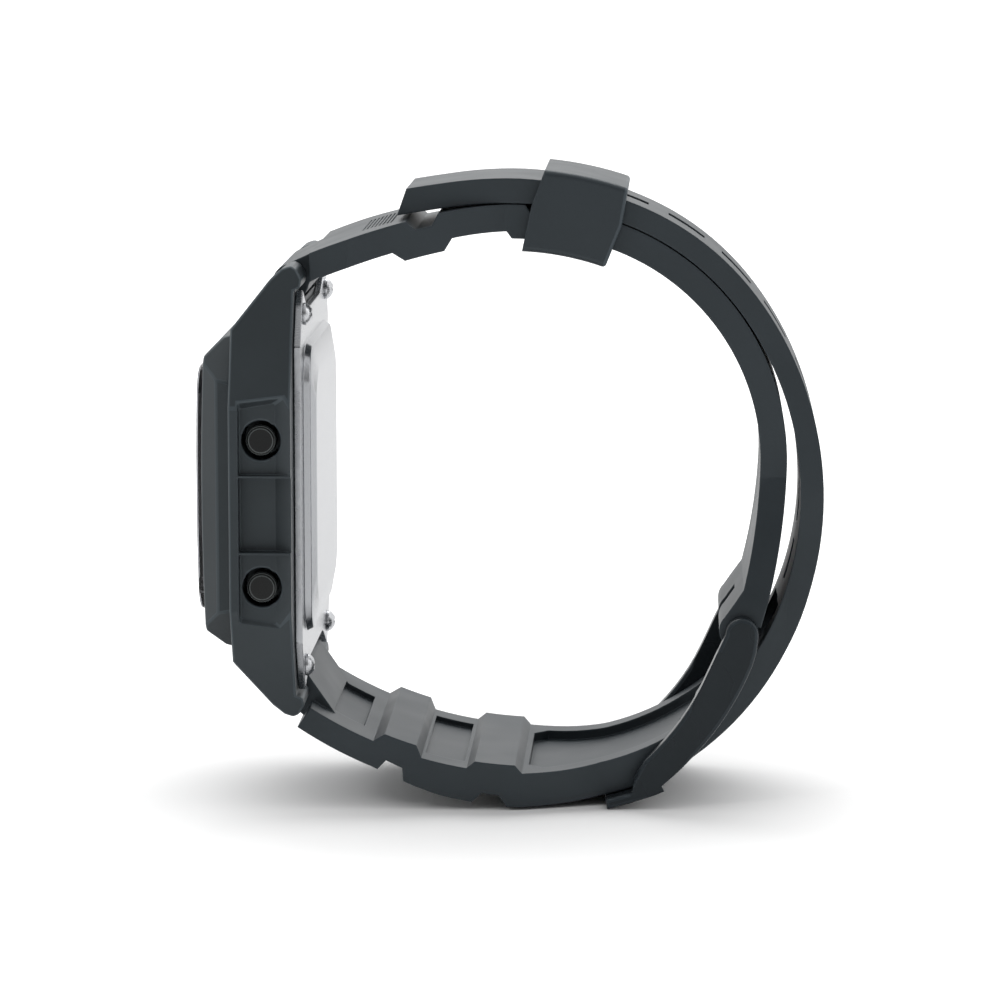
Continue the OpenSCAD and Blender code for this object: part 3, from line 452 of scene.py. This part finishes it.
# Width of the rounding, least angle of a sharp edge, and what is welded first; at width 0 the
# edges stay sharp and only the normals are softened
ROUNDED = {
    "case_shell": {"width": 0.22, "sharp": 12},
    "bezel": {"width": 0.22, "sharp": 12},
    "crystal": {"width": 0.2},
    "case_back": {"width": 0.12},
    "back_screws": {"width": 0.06},
    "strap_short": {"width": 0},
    "strap_long": {"width": 0},
    "keeper": {"width": 0.35, "sharp": 35, "weld": 0.15},
    "buckle_frame": {"width": 0.4},
    "buckle_tongue": {"width": 0.15},
}
for node in NODES:
    if node.startswith("button_") and node != "button_contacts":
        ROUNDED[node] = {"width": 0.06}
SKINS = {}
for node, shape in ROUNDED.items():
    body = None if node == "strap_long" else BODY_OF[node]
    mesh = rounded_mesh(node, **shape)
    SKINS[node] = link_piece(node + "_skin", mesh, SLOT_OF[node], body, [node])

# The buckle has the strap's resin with a smoother, darker skin
for node in ("buckle_frame", "buckle_tongue"):
    SKINS[node].data.materials[0] = MATERIALS["buckle_resin"]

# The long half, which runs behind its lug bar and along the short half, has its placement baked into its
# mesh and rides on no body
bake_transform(SKINS["strap_long"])


# Springs: each becomes a piece with its own mesh, and a bar spring is cut in two halves at the middle of
# its bar
def coil_mesh(name, node, fixed=None, away=None):
    """The spring's mesh, or only the part of it that doesn't lie away from the fixed point."""
    bm = bmesh.new()
    bm.from_mesh(NODES[node].data)
    if away:
        parts = bm.verts[:] + bm.edges[:] + bm.faces[:]
        cut = bmesh.ops.bisect_plane(bm, geom=parts, plane_co=fixed, plane_no=away, clear_outer=True)
        rim = [part for part in cut["geom_cut"] if isinstance(part, bmesh.types.BMEdge)]
        bmesh.ops.holes_fill(bm, edges=rim)
    for face in bm.faces:
        face.smooth = True
    mesh = bpy.data.meshes.new(name)
    bm.to_mesh(mesh)
    bm.free()
    return mesh


def shorten(piece):
    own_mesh(piece)


def spring_ends(node):
    """The ends of a spring along Y, the one nearer the middle of the watch first."""
    low, high = (Vector(corner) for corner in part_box(node))
    middle = (low + high) / 2
    ends = [Vector((middle.x, y, middle.z)) for y in (low.y, high.y)]
    return sorted(ends, key=lambda end: abs(end.y))


def make_button_spring(node):
    name = node + "_coil"
    piece = link_piece(name, coil_mesh(name, node), SLOT_OF[node], BODY_OF[node], [node])
    shorten(piece)


def make_bar_spring(node):
    """Two halves that meet in the middle of the bar, each running from its own end to the middle."""
    ends = spring_ends(node)
    middle = (ends[0] + ends[1]) / 2
    for side, sign in (("near", -1), ("far", 1)):
        name = f"{node}_{side}"
        pressed = max(ends, key=lambda end: end.y * sign)
        mesh = coil_mesh(name, node, middle, middle - pressed)
        piece = link_piece(name, mesh, SLOT_OF[node], BODY_OF[node], [node])
        shorten(piece)


COILS = []
for hour in (2, 4, 8, 10):
    COILS.append(f"spring_{hour}_oclock")
    make_button_spring(COILS[-1])
for bar in ("top", "bottom", "buckle"):
    COILS.append(f"{bar}_bar_spring")
    make_bar_spring(COILS[-1])

# The other CAD nodes keep their own mesh
for name, node in NODES.items():
    if name in ROUNDED or name in COILS:
        continue
    node.data.materials.clear()
    node.data.materials.append(MATERIALS[SLOT_OF[name]])


# Display: segments on the panel's face, without letters, in the case's own frame in mm
PANEL_FACE = CASE_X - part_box("lcd_panel")[0][0] / MM
PRINT_T = 0.04
TIME_X = -9.4
TIME_Y = -6.6
COLON_GAP = 0.9
SECONDS_X = 7.0
DATE_AT = (1.0, 6.9)
TIME_FIGURES = {"pitch": 3.9, "width": 3.1, "height": 6.2, "stroke": 0.62}
SECONDS_FIGURES = {"pitch": 1.75, "width": 1.3, "height": 3.0, "stroke": 0.34}
DATE_FIGURES = {"pitch": 2.1, "width": 1.35, "height": 2.6, "stroke": 0.34}
DOT = 0.55
COLON_X = -1.95
COLON_YS = (-4.9, -3.1)
SEGMENTS = {
    "0": "abcdef", "1": "bc", "2": "abged", "3": "abgcd", "5": "afgcd", "6": "afgecd", "8": "abcdefg",
}
BOX_SIDES = ((0, 1, 3, 2), (4, 6, 7, 5), (0, 4, 5, 1), (2, 3, 7, 6), (0, 2, 6, 4), (1, 5, 7, 3))


def add_bar(bm, x0, y0, x1, y1):
    """A printed bar on the panel's face."""
    spans = ((x0, x1), (y0, y1), (PANEL_FACE, PANEL_FACE + PRINT_T))
    verts = [bm.verts.new(case_point(*corner)) for corner in itertools.product(*spans)]
    for side in BOX_SIDES:
        bm.faces.new([verts[i] for i in side])


def add_figure(bm, figure, x, y, width, height, stroke):
    """Seven bars round a slot, each kept clear of its neighbours."""
    half = height / 2
    gap = stroke * 0.18
    bars = {
        "a": (gap, height - stroke, width - gap, height),
        "g": (gap, half - stroke / 2, width - gap, half + stroke / 2),
        "d": (gap, 0, width - gap, stroke),
        "f": (0, half + gap, stroke, height - gap),
        "b": (width - stroke, half + gap, width, height - gap),
        "e": (0, gap, stroke, half - gap),
        "c": (width - stroke, gap, width, half - gap),
    }
    for key in SEGMENTS[figure]:
        x0, y0, x1, y1 = bars[key]
        if key in "agd":
            x0, x1 = x0 + stroke, x1 - stroke
        add_bar(bm, x + x0, y + y0, x + x1, y + y1)


def add_row(bm, text, x, y, pitch, **shape):
    for i, figure in enumerate(text):
        add_figure(bm, figure, x + i * pitch, y, **shape)


def make_display():
    bm = bmesh.new()
    minutes_x = TIME_X + 2 * TIME_FIGURES["pitch"] + COLON_GAP
    add_row(bm, "10", TIME_X, TIME_Y, **TIME_FIGURES)
    add_row(bm, "08", minutes_x, TIME_Y, **TIME_FIGURES)
    add_row(bm, "36", SECONDS_X, TIME_Y, **SECONDS_FIGURES)
    for y in COLON_YS:
        add_bar(bm, COLON_X, y, COLON_X + DOT, y + DOT)
    add_row(bm, "1025", *DATE_AT, **DATE_FIGURES)
    bmesh.ops.recalc_face_normals(bm, faces=bm.faces)
    mesh = bpy.data.meshes.new("display_figures")
    bm.to_mesh(mesh)
    bm.free()
    link_piece("display_figures", mesh, "mask_black", "case")


make_display()


# Floor, world and lamps, in metres
FLOOR_SIZE = 8
FLOOR_TONE = (0.9, 0.9, 0.9, 1)
GLOW = 0.5
GLOW_FROM = 0.014
GLOW_TO = 0.062
LIGHT_SIDE = (0, 0.95, 0.3)
DIM_SIDE = 0.14
DIM_UP_TO = -0.85
BRIGHT_FROM = 0.3


def make_floor():
    """Pale floor that keeps the shadow near the object and is white to the camera away from it."""
    bpy.ops.mesh.primitive_plane_add(size=FLOOR_SIZE)
    floor = bpy.context.object
    floor.name = "floor"
    s = Shader("floor")
    s.set(Base_Color=FLOOR_TONE, Roughness=0.9, Specular_IOR_Level=0.0)
    glow = s.node("ShaderNodeEmission")
    both = s.node("ShaderNodeAddShader")
    path = s.node("ShaderNodeLightPath")
    lift = s.node("ShaderNodeMath", operation="MULTIPLY")
    away = s.node("ShaderNodeVectorMath", operation="LENGTH")
    s.link(s.place, away.inputs[0])
    s.link(s.ramp(away.outputs["Value"], 0.0, GLOW, GLOW_FROM, GLOW_TO), lift.inputs[1])
    s.link(path.outputs["Is Camera Ray"], lift.inputs[0])
    s.link(lift.outputs[0], glow.inputs["Strength"])
    s.link(s.base.outputs[0], both.inputs[0])
    s.link(glow.outputs[0], both.inputs[1])
    s.link(both.outputs[0], s.tree.nodes["Material Output"].inputs["Surface"])
    floor.data.materials.append(s.material)


def make_world():
    """White to the camera; as light, bright behind and above the object and dim in front of it."""
    world = bpy.data.worlds.new("studio")
    bpy.context.scene.world = world
    world.use_nodes = True
    tree = world.node_tree
    back = tree.nodes["Background"]
    back.inputs["Color"].default_value = (1, 1, 1, 1)
    place = tree.nodes.new("ShaderNodeTexCoord")
    dot = tree.nodes.new("ShaderNodeVectorMath")
    dot.operation = "DOT_PRODUCT"
    dot.inputs[1].default_value = LIGHT_SIDE
    tree.links.new(place.outputs["Generated"], dot.inputs[0])
    rise = tree.nodes.new("ShaderNodeMapRange")
    rise.inputs["From Min"].default_value = DIM_UP_TO
    rise.inputs["From Max"].default_value = BRIGHT_FROM
    rise.inputs["To Min"].default_value = DIM_SIDE
    rise.inputs["To Max"].default_value = 1.0
    tree.links.new(dot.outputs["Value"], rise.inputs["Value"])
    path = tree.nodes.new("ShaderNodeLightPath")
    pick = tree.nodes.new("ShaderNodeMix")
    tree.links.new(path.outputs["Is Camera Ray"], pick.inputs["Factor"])
    tree.links.new(rise.outputs["Result"], pick.inputs[2])
    pick.inputs[3].default_value = 1.0
    tree.links.new(pick.outputs[0], back.inputs["Strength"])


def make_lamp(name, at, towards, size, radiance):
    """A soft box of the given width and height; its power follows from its own brightness."""
    data = bpy.data.lights.new(name, "AREA")
    data.shape = "RECTANGLE"
    data.size, data.size_y = size
    data.energy = radiance * math.pi * size[0] * size[1]
    lamp = bpy.data.objects.new(name, data)
    bpy.context.scene.collection.objects.link(lamp)
    lamp.location = at
    lamp.rotation_euler = (Vector(towards) - Vector(at)).to_track_quat("-Z", "Y").to_euler()


make_camera()
make_floor()
make_world()
centre = (cad_low + cad_high) / 2
make_lamp("overhead", (0.0, 0.42, 0.6), centre, (0.7, 0.5), 1.9)
make_lamp("left_strip", (-0.6, -0.06, 0.25), centre, (0.2, 0.5), 0.8)
make_lamp("right_strip", (0.6, -0.04, 0.25), centre, (0.2, 0.5), 0.8)
make_lamp("sparkle", (-0.35, -0.32, 0.42), centre, (0.07, 0.07), 12)
bpy.context.scene.view_settings.view_transform = "Standard"
